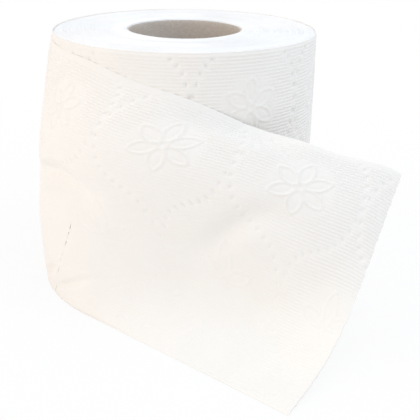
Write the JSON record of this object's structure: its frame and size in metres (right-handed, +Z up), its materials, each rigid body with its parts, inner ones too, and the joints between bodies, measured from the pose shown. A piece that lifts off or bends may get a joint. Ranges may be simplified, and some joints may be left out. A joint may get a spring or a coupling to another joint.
{
  "type": "toilet roll with its loose end pulled out",
  "caption": "Standing toilet roll on a cardboard tube, with its loosened last sheet drawn out in front and leaning on the floor.",
  "frame": {"origin": "on the roll's axis, at the lower end face that it stands on", "axes": "+Z up along the roll's axis; the loose sheet is drawn out towards +X and -Y"},
  "size_m": [0.1384, 0.169, 0.1],
  "materials": {
    "core_tube": "spirally wound grey-brown board, matt",
    "wound_roll": "soft white ribbed and dotted tissue, matt",
    "loose_sheet": "soft white ribbed and dotted tissue, matt"
  },
  "bodies": {
    "root": {"core_tube": "core_tube", "wound_roll": "wound_roll", "loose_sheet": "loose_sheet"}
  },
  "joints": []
}
